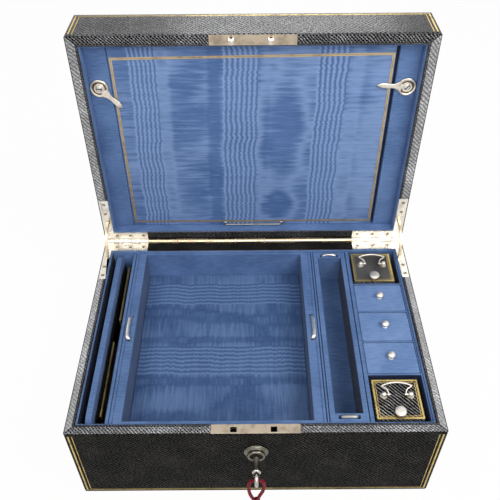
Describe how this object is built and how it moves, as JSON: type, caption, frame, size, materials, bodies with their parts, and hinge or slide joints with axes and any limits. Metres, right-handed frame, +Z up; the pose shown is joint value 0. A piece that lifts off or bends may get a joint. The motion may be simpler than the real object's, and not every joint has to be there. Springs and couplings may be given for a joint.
{
  "type": "travelling writing box",
  "caption": "Leather-covered hard case with a hinged lid, silk-lined lift-out trays, lidded cells, small leather cases, a lock with its key and a letter panel in the lid.",
  "frame": {"origin": "middle of the base's underside", "axes": "+Z up, the lock and key at -Y, the hinge at +Y, +X to the right seen from the front"},
  "size_m": [0.37, 0.3638, 0.3854],
  "materials": {
    "leather_black": "black cross-grained goatskin, polished, with gilt tooled lines",
    "silk_blue": "blue ribbed silk over board",
    "silk_moire": "blue watered silk over board with a gilt border",
    "wood": "plain hardwood carcase under the leather and the lining",
    "gilt_brass": "silver-gilt, worn pale",
    "silver": "polished silver with light scratches",
    "clear_glass": "clear bottle glass",
    "leather_brown": "brown calf with gilt edges",
    "crimson_cord": "twisted crimson silk cord"
  },
  "bodies": {
    "base": {"base_carcase": "wood", "base_cover": "leather_black", "base_lining": "silk_blue", "partitions": "silk_blue", "cell_block": "silk_blue", "tray_rests": "silk_blue", "slot_divider": "silk_blue", "hinge_base_leaf": "gilt_brass", "hinge_pins": "silver", "base_plate_left": "gilt_brass", "base_plate_right": "gilt_brass", "base_screws": "gilt_brass", "lock_case": "gilt_brass", "lock_plate": "gilt_brass", "lock_nozzle": "gilt_brass"},
    "lid": {"lid_carcase": "wood", "lid_cover": "leather_black", "lid_lining": "silk_blue", "panel_cheeks": "silk_blue", "letter_panel": "silk_moire", "hinge_lid_leaf": "gilt_brass", "lid_plate_left": "gilt_brass", "lid_plate_right": "gilt_brass", "lid_screws": "gilt_brass", "link_plate": "gilt_brass", "turnbuckle_posts": "silver", "panel_pull_studs": "gilt_brass"},
    "quadrant_l": {"quadrant_left": "gilt_brass"},
    "quadrant_r": {"quadrant_right": "gilt_brass"},
    "turnbuckle_l": {"turnbuckle_left": "gilt_brass"},
    "turnbuckle_r": {"turnbuckle_right": "gilt_brass"},
    "panel_bail": {"panel_pull": "gilt_brass"},
    "main_tray_body": {"main_tray": "silk_blue"},
    "main_loop_l": {"tray_loop_left": "silver"},
    "main_loop_r": {"tray_loop_right": "silver"},
    "pen_tray_body": {"pen_tray": "silk_blue"},
    "pen_loop_f": {"pen_loop_front": "silver"},
    "pen_loop_b": {"pen_loop_rear": "silver"},
    "cover_front": {"cell_lid_front": "silk_blue", "cell_knob_front": "silver"},
    "cover_middle": {"cell_lid_middle": "silk_blue", "cell_knob_middle": "silver"},
    "cover_rear": {"cell_lid_rear": "silk_blue", "cell_knob_rear": "silver"},
    "ink_box": {"ink_case": "leather_black", "ink_bottle": "clear_glass"},
    "ink_top": {"ink_case_lid": "leather_black", "ink_studs": "silver"},
    "ink_handle": {"ink_bail": "silver"},
    "ink_catch": {"ink_button": "silver"},
    "lights_box": {"lights_case": "leather_black"},
    "lights_top": {"lights_case_lid": "leather_black", "lights_studs": "silver"},
    "lights_handle": {"lights_bail": "silver"},
    "lights_catch": {"lights_button": "silver"},
    "wallet_body": {"wallet": "leather_brown"},
    "bolt": {"lock_bolt": "silver"},
    "plug": {"lock_plug": "silver"},
    "key_body": {"key": "silver"},
    "cord_body": {"key_cord": "crimson_cord"}
  },
  "joints": [
    {"name": "lid_hinge", "type": "hinge", "parent": "base", "child": "lid", "pos_m": [0, 0.1345, 0.1165], "axis": [-1, 0, 0], "range_deg": [-91.4, 0]},
    {"name": "quadrant_l_swing", "type": "hinge", "parent": "base", "child": "quadrant_l", "pos_m": [0, 0.1345, 0.1165], "axis": [-1, 0, 0], "range_deg": [-45.7, 0]},
    {"name": "quadrant_r_swing", "type": "hinge", "parent": "base", "child": "quadrant_r", "pos_m": [0, 0.1345, 0.1165], "axis": [-1, 0, 0], "range_deg": [-45.7, 0]},
    {"name": "turnbuckle_l_turn", "type": "hinge", "parent": "lid", "child": "turnbuckle_l", "pos_m": [-0.1613, 0.15122, 0.32195], "axis": [0, -0.9997, 0.0244], "range_deg": [-43, 137]},
    {"name": "turnbuckle_r_turn", "type": "hinge", "parent": "lid", "child": "turnbuckle_r", "pos_m": [0.1613, 0.15121, 0.32155], "axis": [0, -0.9997, 0.0244], "range_deg": [-93, 86]},
    {"name": "panel_bail_swing", "type": "hinge", "parent": "lid", "child": "panel_bail", "pos_m": [0, 0.14572, 0.13773], "axis": [1, 0, 0], "range_deg": [-110, 0]},
    {"name": "main_tray_lift", "type": "slide", "parent": "base", "child": "main_tray_body", "axis": [0, 0, 1], "range_m": [0, 0.12]},
    {"name": "main_loop_l_pull", "type": "slide", "parent": "main_tray_body", "child": "main_loop_l", "axis": [0, 0, 1], "range_m": [0, 0.009]},
    {"name": "main_loop_r_pull", "type": "slide", "parent": "main_tray_body", "child": "main_loop_r", "axis": [0, 0, 1], "range_m": [0, 0.009]},
    {"name": "pen_tray_lift", "type": "slide", "parent": "base", "child": "pen_tray_body", "axis": [0, 0, 1], "range_m": [0, 0.12]},
    {"name": "pen_loop_f_pull", "type": "slide", "parent": "pen_tray_body", "child": "pen_loop_f", "axis": [0, 0, 1], "range_m": [0, 0.009]},
    {"name": "pen_loop_b_pull", "type": "slide", "parent": "pen_tray_body", "child": "pen_loop_b", "axis": [0, 0, 1], "range_m": [0, 0.009]},
    {"name": "cover_front_lift", "type": "slide", "parent": "base", "child": "cover_front", "axis": [0, 0, 1], "range_m": [0, 0.08]},
    {"name": "cover_middle_lift", "type": "slide", "parent": "base", "child": "cover_middle", "axis": [0, 0, 1], "range_m": [0, 0.08]},
    {"name": "cover_rear_lift", "type": "slide", "parent": "base", "child": "cover_rear", "axis": [0, 0, 1], "range_m": [0, 0.08]},
    {"name": "ink_case_lift", "type": "slide", "parent": "base", "child": "ink_box", "axis": [0, 0, 1], "range_m": [0, 0.12]},
    {"name": "ink_lid_open", "type": "hinge", "parent": "ink_box", "child": "ink_top", "pos_m": [0.1417, -0.0735, 0.10975], "axis": [-1, 0, 0], "range_deg": [0, 90]},
    {"name": "ink_bail_swing", "type": "hinge", "parent": "ink_top", "child": "ink_handle", "pos_m": [0.1417, -0.09328, 0.1191], "axis": [1, 0, 0], "range_deg": [0, 130]},
    {"name": "ink_button_press", "type": "slide", "parent": "ink_top", "child": "ink_catch", "axis": [0, 0, -1], "range_m": [0, 0.0018], "stiffness_N_per_m": 400, "springref_m": -0.002},
    {"name": "lights_case_lift", "type": "slide", "parent": "base", "child": "lights_box", "axis": [0, 0, 1], "range_m": [0, 0.12]},
    {"name": "lights_lid_open", "type": "hinge", "parent": "lights_box", "child": "lights_top", "pos_m": [0.1417, 0.1097, 0.10975], "axis": [-1, 0, 0], "range_deg": [0, 90]},
    {"name": "lights_bail_swing", "type": "hinge", "parent": "lights_top", "child": "lights_handle", "pos_m": [0.1417, 0.08992, 0.1191], "axis": [1, 0, 0], "range_deg": [0, 130]},
    {"name": "lights_button_press", "type": "slide", "parent": "lights_top", "child": "lights_catch", "axis": [0, 0, -1], "range_m": [0, 0.0018], "stiffness_N_per_m": 400, "springref_m": -0.002},
    {"name": "wallet_lift", "type": "slide", "parent": "base", "child": "wallet_body", "axis": [0, 0, 1], "range_m": [0, 0.12]},
    {"name": "plug_turn", "type": "hinge", "parent": "base", "child": "plug", "pos_m": [0.0004, -0.1345, 0.083], "axis": [0, 1, 0], "range_deg": [0, 90]},
    {"name": "bolt_slide", "type": "slide", "parent": "base", "child": "bolt", "axis": [1, 0, 0], "range_m": [0, 0.007]},
    {"name": "key_pull", "type": "slide", "parent": "plug", "child": "key_body", "axis": [0, -1, 0], "range_m": [0, 0.04]},
    {"name": "cord_hang", "type": "hinge", "parent": "key_body", "child": "cord_body", "pos_m": [0.0004, -0.1345, 0.083], "axis": [0, 1, 0], "range_deg": [-90, 0], "deforming": ["key_cord"]}
  ],
  "couplings": [
    {"joint": "quadrant_l_swing", "follows": "lid_hinge", "ratio": 0.5},
    {"joint": "quadrant_r_swing", "follows": "lid_hinge", "ratio": 0.5},
    {"joint": "plug_turn", "follows": "bolt_slide", "rad_per_m": 224.4},
    {"joint": "cord_hang", "follows": "bolt_slide", "rad_per_m": -224.4}
  ]
}
